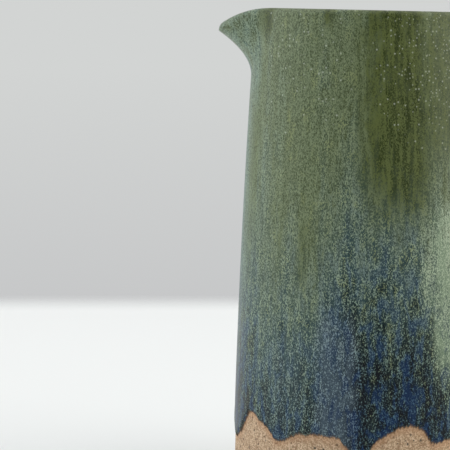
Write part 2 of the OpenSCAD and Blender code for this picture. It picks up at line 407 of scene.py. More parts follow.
@dataclass(frozen=True)
class ReactiveGlaze:
    """Stoneware reactive glaze, dipped and fired to a satin gloss.

    Titanium parts from the glaze as it runs, so fine pale grains, drawn out downwards, lie on a
    darker ground. Where the coat is thin the ground is olive green. Lower down, where it ran thick,
    the ground turns slate blue and then navy, and the grains stand out and thin out.
    """

    name: str = "reactive_glaze"
    # Colours of the ground and of the grains, from a thin coat at 0 to a deep one at 1
    steps: tuple[float, ...] = (0.0, 0.3, 0.55, 0.84, 1.0)
    ground: tuple[str, ...] = ("#4b5537", "#4a5947", "#384d4d", "#0f2022", "#000712")
    grain: tuple[str, ...] = ("#7a8664", "#8a987e", "#95a691", "#849a8a", "#4b6f80")
    blue_vein: str = "#04264e"
    blue_grain: str = "#28557c"
    yellow_grain: str = "#8b9360"
    deep_olive: str = "#2f3811"
    olive_grain: str = "#5b6434"
    pale_ground: str = "#7c8f74"
    pale_grain: str = "#a9b79c"
    calm_slate: str = "#4e5f6b"
    calm_grain: str = "#86989e"
    teal: str = "#3f6468"
    crystal: str = "#d3d8c6"
    edge_line: str = "#77604a"
    grain_mm: float = 0.45
    fur_mm: float = 1.5
    clump_mm: float = 3.6
    streak_mm: float = 9.0
    crystal_mm: float = 1.4
    roughness: float = 0.3
    ior: float = 1.28  # a satin surface, crusted with crystals, that mirrors less than clear glass

    def patterns(self, tree: Tree, places: Socket) -> dict[str, Socket]:
        """Draws the patterns that the glaze ran in, each one longer down the side than across.

        Args:
            tree: The glaze's node tree.
            places: Object coordinates.

        Returns:
            The strength of each pattern, from 0 to 1, by its name.
        """
        found = {}
        # Squeeze downwards, width in millimetres, detail, roughness and distortion. A grain is half
        # a millimetre wide and not quite twice as long, a clump about 9 mm long, a hair of the fur
        # 15 mm and a streak 90 mm.
        for pattern, squeeze, width_mm, detail, roughness, distortion in (
            ("grains", 0.6, self.grain_mm, 2.0, 0.62, 0.7),
            ("clumps", 0.4, self.clump_mm, 3.0, 0.6, 0.4),
            ("streaks", 0.1, self.streak_mm, 4.0, 0.65, 0.0),
            ("fur", 0.1, self.fur_mm, 1.0, 0.5, 0.0),
        ):
            drawn = add_node(tree, "ShaderNodeMapping", {
                "Vector": places, "Scale": (1, 1, squeeze),
            }).outputs[0]
            found[pattern] = add_node(tree, "ShaderNodeTexNoise", {
                "Vector": drawn, "Scale": per_metre(width_mm), "Detail": detail,
                "Roughness": roughness, "Distortion": distortion,
            }).outputs["Fac"]
        return found

    def grain_cover(self, tree: Tree, found: dict[str, Socket], olive: Socket, depth: Socket) -> Socket:
        """Works out how far the grains cover the ground.

        Args:
            tree: The glaze's node tree.
            found: The patterns by name.
            olive: The mark of the thin olive runs.
            depth: How deep the coat is.

        Returns:
            The cover, from 0 to 1.
        """
        # Where the coat is thin and olive, the grains line up into long hairs
        lean = add_node(tree, "ShaderNodeMapRange", {
            "Value": found["fur"], "From Min": 0.3, "From Max": 0.7, "To Min": -0.5, "To Max": 0.5,
        }).outputs[0]
        hairy = add_node(tree, "ShaderNodeMath", {0: olive, 1: 0.16, 2: 0.08},
                         operation="MULTIPLY_ADD").outputs[0]
        furred = add_node(tree, "ShaderNodeMath", {0: lean, 1: hairy, 2: found["grains"]},
                          operation="MULTIPLY_ADD").outputs[0]
        # Grains cover less of the coat as it deepens, and their edges are sharper there
        edges = [
            add_node(tree, "ShaderNodeMapRange", {
                "Value": depth, "To Min": thin, "To Max": deep,
            }).outputs[0]
            for thin, deep in ((0.39, 0.56), (0.59, 0.62))
        ]
        return add_node(tree, "ShaderNodeMapRange", {
            "Value": furred, "From Min": edges[0], "From Max": edges[1],
        }, interpolation_type="SMOOTHSTEP").outputs[0]

    def coat(self, tree: Tree, clumps: Socket, depth: Socket, cover: Socket) -> Socket:
        """Lays the grains on the ground, by how deep the coat is.

        Args:
            tree: The glaze's node tree.
            clumps: The pattern of clumps.
            depth: How deep the coat is.
            cover: How far the grains cover the ground.

        Returns:
            The colour.
        """
        # Blue gathers in veins where the coat is deep, and some of the grains are yellower
        vein = add_node(tree, "ShaderNodeMapRange", {
            "Value": clumps, "From Min": 0.52, "From Max": 0.4, "To Max": 0.95,
        }, interpolation_type="SMOOTHSTEP").outputs[0]
        deep_vein = add_node(tree, "ShaderNodeMath", {0: vein, 1: depth}, operation="MULTIPLY").outputs[0]
        yellow = add_node(tree, "ShaderNodeMapRange", {
            "Value": clumps, "From Min": 0.5, "From Max": 0.68, "To Max": 0.7,
        }, interpolation_type="SMOOTHSTEP").outputs[0]
        layers = []
        for colours, tints in (
            (self.ground, ((deep_vein, self.blue_vein),)),
            (self.grain, ((yellow, self.yellow_grain), (deep_vein, self.blue_grain))),
        ):
            layer = add_node(tree, "ShaderNodeValToRGB", {"Fac": depth},
                             tuple(zip(self.steps, colours))).outputs[0]
            for share, tint in tints:
                layer = add_node(tree, "ShaderNodeMix", {0: share, 6: layer, 7: linear(tint)},
                                 data_type="RGBA").outputs[2]
            layers.append(layer)
        return add_node(tree, "ShaderNodeMix", {0: cover, 6: layers[0], 7: layers[1]},
                        data_type="RGBA").outputs[2]

    def runs(
        self, tree: Tree, colour: Socket, cover: Socket, shift: Socket, mark: dict[Mark, Socket]
    ) -> Socket:
        """Lays the runs where the glaze came out in its own way, with the painted reflections carried by the
        teal and calm marks, over the rest of the coat.

        Args:
            tree: The glaze's node tree.
            colour: The coat without them.
            cover: How far the grains cover the ground.
            shift: How the break from green to navy wanders.
            mark: The marks on the piece's points.

        Returns:
            The colour with them.
        """
        # A run frays at its edge: it takes the grains first and wanders like the break
        frayed = add_node(tree, "ShaderNodeMath", {0: shift, 1: 2.0, 2: 0.6},
                          operation="MULTIPLY_ADD").outputs[0]
        ragged = add_node(tree, "ShaderNodeMath", {0: cover, 1: 0.7, 2: frayed},
                          operation="MULTIPLY_ADD").outputs[0]
        # Each kind of run: its mark, its ground, its grains and how far it covers what is under it
        for which, under, over, most in (
            (Mark.TEAL, self.teal, self.grain[2], 0.75),
            (Mark.CALM, self.calm_slate, self.calm_grain, 0.8),
            (Mark.OLIVE, self.deep_olive, self.olive_grain, 0.92),
            (Mark.PALE, self.pale_ground, self.pale_grain, 0.95),
        ):
            run = add_node(tree, "ShaderNodeMix", {0: cover, 6: linear(under), 7: linear(over)},
                           data_type="RGBA").outputs[2]
            loose = add_node(tree, "ShaderNodeMath", {0: ragged, 1: mark[which]},
                             operation="MULTIPLY").outputs[0]
            share = add_node(tree, "ShaderNodeMapRange", {
                "Value": loose, "From Min": 0.1, "From Max": 0.95, "To Max": most,
            }, interpolation_type="SMOOTHSTEP").outputs[0]
            colour = add_node(tree, "ShaderNodeMix", {0: share, 6: colour, 7: run},
                              data_type="RGBA").outputs[2]
        return colour

    def crystals(self, tree: Tree, places: Socket, sowing: Socket) -> Socket:
        """Sows white crystals: some of the cells, each a speck well under a millimetre across.

        Args:
            tree: The glaze's node tree.
            places: Object coordinates.
            sowing: How thickly they are sown.

        Returns:
            How much of a crystal shows.
        """
        cells = add_node(tree, "ShaderNodeTexVoronoi", {
            "Vector": places, "Scale": per_metre(self.crystal_mm), "Randomness": 1.0,
        })
        chosen = add_node(tree, "ShaderNodeSeparateColor", {"Color": cells.outputs["Color"]}).outputs[0]
        sown = add_node(tree, "ShaderNodeMath", {0: chosen, 1: sowing}, operation="LESS_THAN").outputs[0]
        size = add_node(tree, "ShaderNodeMapRange", {
            "Value": chosen, "To Min": 0.38, "To Max": 0.12,
        }).outputs[0]
        round_speck = add_node(tree, "ShaderNodeMapRange", {
            "Value": cells.outputs["Distance"], "From Min": size, "From Max": 0.03, "To Max": 0.6,
        }).outputs[0]
        return add_node(tree, "ShaderNodeMath", {0: round_speck, 1: sown}, operation="MULTIPLY").outputs[0]

    def material(self) -> bpy.types.Material:
        """Mixes the glaze.

        Returns:
            The fired glaze, which reads every mark on the points of the piece that it is put on.
        """
        finish = bpy.data.materials.new(self.name)
        finish.use_nodes = True
        tree = finish.node_tree
        tree.nodes.clear()
        places = add_node(tree, "ShaderNodeTexCoord").outputs["Object"]
        mark = {
            m: add_node(tree, "ShaderNodeAttribute", attribute_name=m.value).outputs["Fac"] for m in Mark
        }
        found = self.patterns(tree, places)
        grains, clumps = found["grains"], found["clumps"]

        # The break from green to navy wanders with the clumps and the streaks
        wander = add_node(tree, "ShaderNodeMath", {0: clumps, 1: found["streaks"]},
                          operation="ADD").outputs[0]
        shift = add_node(tree, "ShaderNodeMapRange", {
            "Value": wander, "From Min": 0.7, "From Max": 1.3, "To Min": -0.3, "To Max": 0.3,
        }).outputs[0]
        depth = add_node(tree, "ShaderNodeMath", {0: mark[Mark.DEPTH], 1: shift}, operation="ADD",
                         use_clamp=True).outputs[0]
        cover = self.grain_cover(tree, found, mark[Mark.OLIVE], depth)
        colour = self.coat(tree, clumps, depth, cover)
        colour = self.runs(tree, colour, cover, shift, mark)

        # In the last millimetre the coat is so thin that brown clay shows through
        worn = add_node(tree, "ShaderNodeMath", {0: grains, 1: 3.0, 2: mark[Mark.HEM]},
                        operation="MULTIPLY_ADD").outputs[0]
        bare = add_node(tree, "ShaderNodeMapRange", {
            "Value": worn, "From Min": 2.5, "From Max": 1.3, "To Max": 0.8,
        }, interpolation_type="SMOOTHSTEP").outputs[0]
        crystal = self.crystals(tree, places, mark[Mark.CRYSTAL])
        for share, over in ((crystal, self.crystal), (bare, self.edge_line)):
            colour = add_node(tree, "ShaderNodeMix", {0: share, 6: colour, 7: linear(over)},
                              data_type="RGBA").outputs[2]

        satin = add_node(tree, "ShaderNodeMapRange", {
            "Value": grains, "From Min": 0.3, "From Max": 0.7,
            "To Min": self.roughness - 0.05, "To Max": self.roughness + 0.1,
        }).outputs[0]
        height = add_node(tree, "ShaderNodeMath", {0: clumps, 1: 3.0, 2: grains},
                          operation="MULTIPLY_ADD").outputs[0]
        relief = add_node(tree, "ShaderNodeBump", {
            "Strength": 0.3, "Distance": 0.02 * MM, "Height": height,
        }).outputs[0]
        surface = add_node(tree, "ShaderNodeBsdfPrincipled", {
            "Base Color": colour, "Roughness": satin, "IOR": self.ior, "Normal": relief,
        }).outputs[0]
        add_node(tree, "ShaderNodeOutputMaterial", {"Surface": surface})
        return finish


@dataclass(frozen=True)
class SpeckledStoneware:
    """Iron-bearing stoneware, bare and fired: a dry, close surface of tan clay with fine sand in it.

    Iron in the clay melts through as dark specks, and the clay flushes orange beside the glaze,
    which soaks a ragged dark fringe into it.
    """

    name: str = "stoneware"
    tan: str = "#b59573"
    sand: str = "#dec3a3"
    shade: str = "#8f6e50"
    flush: str = "#b98860"
    fringe: str = "#4f3d2e"
    speck: str = "#2d2118"
    sand_mm: float = 0.7
    mottle_mm: float = 6.0
    speck_mm: float = 1.7
    roughness: float = 0.85

    def iron(self, tree: Tree, places: Socket) -> Socket:
        """Melts iron specks through the clay, a third of a millimetre to one across, in half of the cells.

        Args:
            tree: The clay's node tree.
            places: Object coordinates.

        Returns:
            How much of a speck shows.
        """
        cells = add_node(tree, "ShaderNodeTexVoronoi", {
            "Vector": places, "Scale": per_metre(self.speck_mm),
        })
        chosen = add_node(tree, "ShaderNodeSeparateColor", {"Color": cells.outputs["Color"]}).outputs[1]
        size = add_node(tree, "ShaderNodeMapRange", {
            "Value": chosen, "From Min": 0.5, "From Max": 0.0, "To Min": 0.11, "To Max": 0.56,
        }).outputs[0]
        return add_node(tree, "ShaderNodeMapRange", {
            "Value": cells.outputs["Distance"], "From Min": size, "From Max": 0.1, "To Max": 0.9,
        }, interpolation_type="SMOOTHSTEP").outputs[0]

    def beside_glaze(self, tree: Tree, places: Socket) -> tuple[Socket, Socket]:
        """Works out what the glaze does to the clay beside it.

        Args:
            tree: The clay's node tree.
            places: Object coordinates.

        Returns:
            How far the clay flushes, and how much glaze it soaked up.
        """
        above = add_node(tree, "ShaderNodeAttribute", attribute_name=Mark.HEM.value).outputs["Fac"]
        flushed = add_node(tree, "ShaderNodeMapRange", {
            "Value": above, "From Min": -4.5, "From Max": -0.4, "To Max": 0.45,
        }, interpolation_type="SMOOTHSTEP").outputs[0]
        drawn = add_node(tree, "ShaderNodeMapping", {"Vector": places, "Scale": (1, 1, 0.3)}).outputs[0]
        fibres = add_node(tree, "ShaderNodeTexNoise", {
            "Vector": drawn, "Scale": per_metre(self.sand_mm), "Detail": 1.0,
        }).outputs["Fac"]
        ragged = add_node(tree, "ShaderNodeMath", {0: fibres, 1: 3.2, 2: above},
                          operation="MULTIPLY_ADD").outputs[0]
        soaked = add_node(tree, "ShaderNodeMapRange", {
            "Value": ragged, "From Min": 0.9, "From Max": 2.0, "To Max": 0.75,
        }, interpolation_type="SMOOTHSTEP").outputs[0]
        return flushed, soaked

    def material(self, glazed: bool = False) -> bpy.types.Material:
        """Wedges the clay.

        Args:
            glazed: Whether the piece is marked with its height above the glaze's edge.

        Returns:
            The fired clay.
        """
        finish = bpy.data.materials.new(self.name + ("_body" if glazed else ""))
        finish.use_nodes = True
        tree = finish.node_tree
        tree.nodes.clear()
        places = add_node(tree, "ShaderNodeTexCoord").outputs["Object"]
        sand = add_node(tree, "ShaderNodeTexNoise", {
            "Vector": places, "Scale": per_metre(self.sand_mm), "Detail": 2.0, "Roughness": 0.7,
        }).outputs["Fac"]
        mottle = add_node(tree, "ShaderNodeTexNoise", {
            "Vector": places, "Scale": per_metre(self.mottle_mm), "Detail": 4.0, "Roughness": 0.6,
        }).outputs["Fac"]
        even = add_node(tree, "ShaderNodeMapRange", {
            "Value": mottle, "From Min": 0.3, "From Max": 0.7,
        }).outputs[0]
        gritty = add_node(tree, "ShaderNodeMapRange", {
            "Value": sand, "From Min": 0.46, "From Max": 0.58, "To Max": 0.9,
        }).outputs[0]
        layers = [(even, self.tan), (gritty, self.sand), (self.iron(tree, places), self.speck)]
        if glazed:
            flushed, soaked = self.beside_glaze(tree, places)
            layers += [(flushed, self.flush), (soaked, self.fringe)]
        colour = linear(self.shade)
        for share, over in layers:
            colour = add_node(tree, "ShaderNodeMix", {0: share, 6: colour, 7: linear(over)},
                              data_type="RGBA").outputs[2]

        relief = add_node(tree, "ShaderNodeBump", {
            "Strength": 0.5, "Distance": 0.12 * MM, "Height": sand,
        }).outputs[0]
        surface = add_node(tree, "ShaderNodeBsdfPrincipled", {
            "Base Color": colour, "Roughness": self.roughness, "Normal": relief,
        }).outputs[0]
        add_node(tree, "ShaderNodeOutputMaterial", {"Surface": surface})
        return finish


# ---- Pieces ---------------------------------------------------------------------------------


@dataclass(frozen=True)
class Patch:
    """A place on the coat where the glaze came out in its own way; one teal and one calm place are painted
    reflections.

    The angle and the spread to each side are in degrees, the lowest and highest points in millimetres.
    """

    mark: Mark
    angle: float
    spread: float
    low: float
    high: float
    strength: float = 1.0

    def share(self, degrees: np.ndarray, z_mm: np.ndarray) -> np.ndarray:
        """How much of the patch shows at each point.

        Args:
            degrees: The angle of each point.
            z_mm: Its height.

        Returns:
            The share at each point, at most the patch's strength.
        """
        off = np.abs((degrees - self.angle + 180) % 360 - 180) / self.spread
        middle, half = (self.low + self.high) / 2, (self.high - self.low) / 2
        up = np.abs(z_mm - middle) / half
        return self.strength * (1 - smooth(0.2, 1.0, off)) * (1 - smooth(0.4, 1.0, up))


def paint_marks(
    piece: bpy.types.Object,
    hem_mm: np.ndarray,
    depth: np.ndarray,
    patches: Sequence[Patch],
) -> None:
    """Paints all the marks that the glaze reads on a piece.

    Args:
        piece: The piece, in its place.
        hem_mm: How far each point is above the glaze's edge.
        depth: How thick the glaze ran there.
        patches: The places where it came out in its own way.
    """
    degrees, z_mm = around_and_up(piece)
    marks = {m: np.zeros(len(z_mm)) for m in Mark}
    marks[Mark.HEM], marks[Mark.DEPTH] = hem_mm, depth
    for patch in patches:
        marks[patch.mark] = np.maximum(marks[patch.mark], patch.share(degrees, z_mm))
    for mark, values in marks.items():
        paint(piece, mark.value, values)


@dataclass
class GlazeCoat:
    """The coat of glaze on the outside, over the lip's crown and down to the hem."""

    form: PitcherForm
    columns: int = 720
    side_steps: int = 54
    spout_steps: int = 20
    lip_steps: int = 8
    # Against the clay the coat isn't seen, so it has fewer rings there
    hidden_side_steps: int = 8
    hidden_spout_steps: int = 10
    hidden_lip_steps: int = 4
    # The rolled edge: heights above the hem and how far it stands out from the clay
    edge: tuple[tuple[float, float], ...] = (
        (0.0, 0.02), (0.12, 0.22), (0.35, 0.42), (0.8, 0.62), (1.6, 0.74), (2.8, 0.78), (4.5, 0.7),
    )
    # Where the glaze is halfway from green to navy: angles and heights, once round
    breaks: tuple[tuple[float, float], ...] = (
        (0, 84), (24, 68), (50, 96), (78, 80), (104, 102), (130, 70), (158, 92), (186, 88), (206, 82),
        (225, 68), (238, 64), (248, 82), (258, 108), (266, 106), (274, 98), (283, 92), (302, 82),
        (312, 72), (326, 90), (345, 98), (360, 84),
    )
    break_reach: float = 80  # millimetres from halfway to all green, and to all navy
    patches: tuple[Patch, ...] = (
        Patch(Mark.OLIVE, 279, 26, 102, 240),
        Patch(Mark.OLIVE, 303, 30, 122, 240, 0.6),
        Patch(Mark.OLIVE, 247, 5, 188, 225, 0.6),
        Patch(Mark.OLIVE, 237, 5, 84, 126, 0.45),
        Patch(Mark.OLIVE, 207, 9, 184, 225, 0.6),
        Patch(Mark.OLIVE, 62, 24, 122, 225, 0.9),
        Patch(Mark.OLIVE, 128, 13, 150, 225, 0.7),
        Patch(Mark.OLIVE, 338, 16, 142, 225, 0.7),
        Patch(Mark.PALE, 305, 13, 42, 136, 1.2),
        Patch(Mark.PALE, 297, 11, 74, 124, 0.65),
        Patch(Mark.PALE, 42, 8, 60, 124, 0.9),
        Patch(Mark.PALE, 118, 10, 44, 112, 0.9),
        Patch(Mark.PALE, 172, 7, 66, 120, 0.8),
        # Painted reflection: this even slate-blue patch low on the front paints in the soft reflection of
        # the pale table in the glaze
        Patch(Mark.CALM, 253, 15, 0, 96, 0.9),
        Patch(Mark.CALM, 228, 24, 0, 84, 0.4),
        Patch(Mark.CALM, 18, 15, 18, 74, 0.9),
        Patch(Mark.CALM, 146, 13, 20, 82, 0.9),
        Patch(Mark.TEAL, 188, 26, 150, 215, 0.7),
        Patch(Mark.TEAL, 185, 20, 60, 190, 0.7),
        # Painted sheen: this faint teal strip up the whole left flank is partly the glaze's own blue and
        # partly a painted bluish reflection of the window light
        Patch(Mark.TEAL, 210, 10, 0, 205, 0.25),
        Patch(Mark.TEAL, 222, 7, 120, 196, 0.3),
        Patch(Mark.TEAL, 265, 4, 190, 212, 0.6),
        Patch(Mark.TEAL, 98, 12, 150, 200, 0.5),
        Patch(Mark.CRYSTAL, 299, 34, 140, 250, 0.8),
        Patch(Mark.CRYSTAL, 240, 40, 150, 250, 0.2),
        Patch(Mark.CRYSTAL, 70, 36, 150, 235, 0.8),
        Patch(Mark.CRYSTAL, 340, 24, 160, 235, 0.6),
    )

    def build(self) -> bpy.types.Object:
        """Lays the coat as a closed skin, glass outside and against the clay inside.

        Returns:
            The coat, marked for its finish.
        """
        form, glaze = self.form, self.form.glaze
        side, spout, lip = self.side_steps, self.spout_steps, self.lip_steps
        low_side, low_spout, low_lip = self.hidden_side_steps, self.hidden_spout_steps, self.hidden_lip_steps
        last = self.edge[-1][0] * MM
        quarter = math.pi / 2
        outside = (
            [form.from_hem(above * MM, out * MM) for above, out in self.edge]
            + [form.up_side(i / side, last, glaze) for i in range(1, side + 1)]
            + [form.up_band(i / spout, glaze) for i in range(1, spout + 1)]
            + [form.over_lip(quarter * i / lip, glaze) for i in range(1, lip + 1)]
        )
        against_clay = (
            [form.over_lip(quarter * i / low_lip, 0) for i in range(low_lip, 0, -1)]
            + [form.up_band(i / low_spout, 0) for i in range(low_spout, 0, -1)]
            + [form.up_side(i / low_side, last, 0) for i in range(low_side, -1, -1)]
        )
        coat = throw("outer_glaze_coat", outside + against_clay + outside[:1], self.columns)
        self.dress(coat)
        return coat

    def dress(self, coat: bpy.types.Object) -> None:
        """Marks how the glaze ran over any piece that it is on."""
        degrees, z_mm = around_and_up(coat)
        heights = np.array(self.breaks)
        half_way = np.interp(degrees, heights[:, 0], heights[:, 1])
        depth = 1 - smooth(half_way - self.break_reach, half_way + self.break_reach, z_mm)
        paint_marks(coat, z_mm - self.form.hem(np.radians(degrees)) / MM, depth, self.patches)


@dataclass
class ThrownBody:
    """The clay: one lump, thrown, pulled into a spout and turned at the foot."""

    form: PitcherForm
    columns: int = 720
    side_steps: int = 10
    spout_steps: int = 10
    inside_steps: int = 8
    lip_steps: int = 6
    corner_steps: int = 6
    # Where the rings of the bare band lie, on the way from above the bevel to the glaze
    band_shares: tuple[float, ...] = (0, 0.35, 0.65, 0.85, 0.95, 1)

    def build(self) -> bpy.types.Object:
        """Throws the clay from the middle of the foot up the outside, over the lip and to the floor.

        Returns:
            The body, marked with how far each point is above the glaze's edge.
        """
        form, w, h = self.form, self.form.bevel_width, self.form.bevel_height
        side, spout, inside = self.side_steps, self.spout_steps, self.inside_steps
        lip, turns = self.lip_steps, self.corner_steps
        # The underside and the bevel, softened at both its edges: insets from the side and heights
        foot = [
            (20 * MM, 0.0), (w + 1.5 * MM, 0.0), (w + 0.3 * MM, 0.0), (w - 0.1 * MM, 0.14 * MM),
            (w * 0.5, h * 0.5), (0.2 * MM, h - 0.1 * MM), (0.02 * MM, h + 0.35 * MM),
        ]
        corner = form.floor + form.floor_corner
        rise = form.throat - corner
        rows = (
            [form.on_axis(0)]
            + [form.foot_ring(inset, z) for inset, z in foot]
            + [form.below_hem(share, 2 * h) for share in self.band_shares]
            + [form.up_side(i / side, 1 * MM, 0) for i in range(side + 1)]
            + [form.up_band(i / spout, 0) for i in range(1, spout + 1)]
            + [form.over_lip(math.pi * i / lip, 0) for i in range(1, lip + 1)]
            + [form.inside_band(i / spout, 0) for i in range(spout - 1, 0, -1)]
            + [form.inside_side(corner + rise * i / inside, 0) for i in range(inside, -1, -1)]
            + [form.inside_corner(math.pi / 2 * i / turns, 0) for i in range(1, turns + 1)]
            + [form.on_axis(form.floor)]
        )
        clay = throw("thrown_body", rows, self.columns)
        co = points_of(clay)
        degrees, z_mm = around_and_up(clay)
        above = z_mm - form.hem(np.radians(degrees)) / MM
        outside = np.hypot(co[:, 0], co[:, 1]) > form.side(co[:, 2]) - form.glaze - 1 * MM
        paint(clay, Mark.HEM.value, np.where(outside, above, -FAR_MM))
        return clay


@dataclass
class LinerCoat:
    """The liner glaze, poured round the inside, over the spiral that the fingers left in the clay."""

    form: PitcherForm
    columns: int = 360
    side_steps: int = 126
    spout_steps: int = 18
    corner_steps: int = 10
    floor_steps: int = 30
    lip_steps: int = 8
    # Against the clay the liner isn't seen, so it has fewer rings there
    hidden_side_steps: int = 8
    hidden_spout_steps: int = 10
    hidden_corner_steps: int = 6
    hidden_lip_steps: int = 4
    ripple: float = 0.16 * MM
    side_fade: int = 8  # steps over which the spiral fades out at each end of the side
    floor_fade: int = 4  # and of the floor
    # The pool at the bottom is deeper than the thin coat above it
    thin: float = 0.08
    pool: float = 0.34
    pool_mm: tuple[float, float] = (8, 60)
    patches: tuple[Patch, ...] = (
        Patch(Mark.OLIVE, 250, 40, 150, 230, 0.7),
        Patch(Mark.OLIVE, 80, 34, 160, 230, 0.7),
        Patch(Mark.PALE, 150, 30, 40, 150, 0.6),
        Patch(Mark.PALE, 320, 26, 60, 160, 0.6),
        Patch(Mark.CRYSTAL, 100, 80, 140, 235, 0.6),
    )

    def side_ring(self, step: int, steps: int, out: float, fade: int = 0) -> Row:
        """A ring on the inner side.

        Args:
            step: Which ring it is, from the corner of the floor to the throat.
            steps: How many there are.
            out: How far it is out from the clay.
            fade: Steps over which the spiral fades out at both ends, or 0 for no spiral.

        Returns:
            The ring's outline.
        """
        corner = self.form.floor + self.form.floor_corner
        z = corner + (self.form.throat - corner) * step / steps
        ripple = self.ripple * min(1, step / fade, (steps - step) / fade) if fade else 0.0
        return self.form.inside_side(z, out, ripple)

    def floor_ring(self, step: int) -> Row:
        """A ring on the floor, from 0 at the axis to the last step at the corner."""
        form, steps, fade = self.form, self.floor_steps, self.floor_fade
        corner = form.floor + form.floor_corner
        flat = form.side(corner) - form.glaze - form.wall(corner) - form.floor_corner
        ripple = self.ripple * min(1, step / fade, (steps - step) / fade)
        return form.on_floor(flat * step / steps, form.glaze, ripple)

    def build(self) -> bpy.types.Object:
        """Lays the liner as a closed skin, from the crown of the lip down to the floor and back.

        Returns:
            The liner, marked for its finish.
        """
        form, glaze, half = self.form, self.form.glaze, math.pi / 2
        side, spout, turns, lip = self.side_steps, self.spout_steps, self.corner_steps, self.lip_steps
        low_side, low_spout = self.hidden_side_steps, self.hidden_spout_steps
        low_turns, low_lip = self.hidden_corner_steps, self.hidden_lip_steps
        glass = (
            [form.over_lip(half + half * i / lip, glaze) for i in range(lip + 1)]
            + [form.inside_band(i / spout, glaze) for i in range(spout - 1, 0, -1)]
            + [self.side_ring(i, side, glaze, self.side_fade) for i in range(side, -1, -1)]
            + [form.inside_corner(half * i / turns, glaze) for i in range(1, turns + 1)]
            + [self.floor_ring(i) for i in range(self.floor_steps - 1, 0, -1)]
            + [form.on_axis(form.floor + glaze)]
        )
        against_clay = (
            [form.on_axis(form.floor)]
            + [form.inside_corner(half * i / low_turns, 0) for i in range(low_turns, 0, -1)]
            + [self.side_ring(i, low_side, 0) for i in range(low_side + 1)]
            + [form.inside_band(i / low_spout, 0) for i in range(1, low_spout + 1)]
            + [form.over_lip(half + half * i / low_lip, 0) for i in range(low_lip - 1, -1, -1)]
        )
        liner = throw("liner_coat", glass + against_clay + glass[:1], self.columns)
        z_mm = around_and_up(liner)[1]
        depth = self.pool * (1 - smooth(*self.pool_mm, z_mm)) + self.thin
        paint_marks(liner, np.full(len(z_mm), FAR_MM), depth, self.patches)
        return liner


